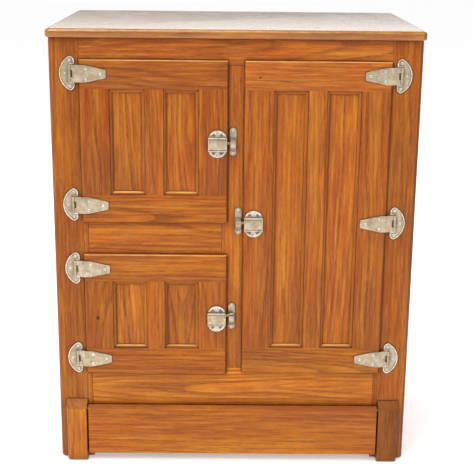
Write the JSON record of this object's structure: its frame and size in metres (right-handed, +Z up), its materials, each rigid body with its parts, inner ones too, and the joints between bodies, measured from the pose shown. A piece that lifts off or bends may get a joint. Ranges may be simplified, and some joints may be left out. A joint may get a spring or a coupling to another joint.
{
  "type": "icebox",
  "caption": "Oak icebox with an ice door and a food door on the left, a tall provision door on the right, strap hinges, lever latches, zinc-lined chambers and a hinged kick flap.",
  "frame": {"origin": "middle of the footprint, on the floor", "axes": "+X to the right seen from the front, doors face -Y, +Z up"},
  "size_m": [0.872, 0.5806, 1.074],
  "materials": {
    "oak_frame": "aged golden oak, satin varnish",
    "oak_rails": "aged golden oak, satin varnish",
    "oak_panels": "aged golden oak, satin varnish",
    "oak_top": "aged oak, worn varnish",
    "pine_boards": "aged softwood, unfinished",
    "rack_wood": "scrubbed wood, unfinished",
    "insulation": "packed mineral wool",
    "zinc_sheet": "dull zinc sheet",
    "galvanised_sheet": "galvanised sheet",
    "tinned_wire": "tinned wire",
    "nickel_plate": "aged nickel plate",
    "screw_metal": "aged nickel plate",
    "steel": "plain steel"
  },
  "bodies": {
    "case": {"top_board": "oak_top", "front_posts": "oak_frame", "rear_posts": "oak_frame", "jamb_strips": "oak_frame", "centre_stile": "oak_frame", "top_rail": "oak_rails", "middle_rail": "oak_rails", "bottom_rail": "oak_rails", "side_rails": "oak_rails", "side_panels": "oak_panels", "back_boards": "pine_boards", "case_insulation": "insulation", "floor_boards": "pine_boards", "partition": "pine_boards", "ice_deck": "pine_boards", "ice_chamber_liner": "zinc_sheet", "food_chamber_liner": "zinc_sheet", "provision_chamber_liner": "zinc_sheet", "drain_pan": "galvanised_sheet", "ice_rack": "rack_wood", "drain_pipe": "galvanised_sheet", "drip_pan": "galvanised_sheet", "shelf_runners": "galvanised_sheet", "wire_shelves": "tinned_wire", "foot_blocks": "oak_frame", "hinge_plates": "nickel_plate", "hinge_and_flap_pins": "steel", "strikes": "nickel_plate", "case_screws": "screw_metal"},
    "ice_door": {"ice_door_rails": "oak_rails", "ice_door_stiles": "oak_frame", "ice_door_panels": "oak_panels", "ice_door_mouldings": "oak_panels", "ice_door_insulation": "insulation", "ice_door_liner": "zinc_sheet", "ice_door_hinge_straps": "nickel_plate", "ice_latch_case": "nickel_plate", "ice_door_fasteners": "screw_metal"},
    "food_door": {"food_door_rails": "oak_rails", "food_door_stiles": "oak_frame", "food_door_panels": "oak_panels", "food_door_mouldings": "oak_panels", "food_door_insulation": "insulation", "food_door_liner": "zinc_sheet", "food_door_hinge_straps": "nickel_plate", "food_latch_case": "nickel_plate", "food_door_fasteners": "screw_metal"},
    "provision_door": {"provision_door_rails": "oak_rails", "provision_door_stiles": "oak_frame", "provision_door_panels": "oak_panels", "provision_door_mouldings": "oak_panels", "provision_door_insulation": "insulation", "provision_door_liner": "zinc_sheet", "provision_door_hinge_straps": "nickel_plate", "provision_latch_case": "nickel_plate", "provision_door_fasteners": "screw_metal"},
    "ice_latch_lever": {"ice_latch_lever": "nickel_plate"},
    "food_latch_lever": {"food_latch_lever": "nickel_plate"},
    "provision_latch_lever": {"provision_latch_lever": "nickel_plate"},
    "kick_flap": {"kick_flap": "oak_frame"}
  },
  "joints": [
    {"name": "ice_door_hinge", "type": "hinge", "parent": "case", "child": "ice_door", "pos_m": [-0.3825, -0.27375, 0.8155], "axis": [0, 0, -1], "range_deg": [0, 120]},
    {"name": "food_door_hinge", "type": "hinge", "parent": "case", "child": "food_door", "pos_m": [-0.3825, -0.27375, 0.3865], "axis": [0, 0, -1], "range_deg": [0, 120]},
    {"name": "provision_door_hinge", "type": "hinge", "parent": "case", "child": "provision_door", "pos_m": [0.3825, -0.27375, 0.6225], "axis": [0, 0, 1], "range_deg": [0, 120]},
    {"name": "ice_latch_pivot", "type": "hinge", "parent": "ice_door", "child": "ice_latch_lever", "pos_m": [-0.0413, -0.2815, 0.81], "axis": [0, -1, 0], "range_deg": [0, 20]},
    {"name": "food_latch_pivot", "type": "hinge", "parent": "food_door", "child": "food_latch_lever", "pos_m": [-0.0413, -0.2815, 0.378], "axis": [0, -1, 0], "range_deg": [-14, 6]},
    {"name": "provision_latch_pivot", "type": "hinge", "parent": "provision_door", "child": "provision_latch_lever", "pos_m": [0.0453, -0.2815, 0.618], "axis": [0, 1, 0], "range_deg": [0, 20]},
    {"name": "kick_flap_hinge", "type": "hinge", "parent": "case", "child": "kick_flap", "pos_m": [0, -0.278, 0.13825], "axis": [-1, 0, 0], "range_deg": [0, 100]}
  ]
}
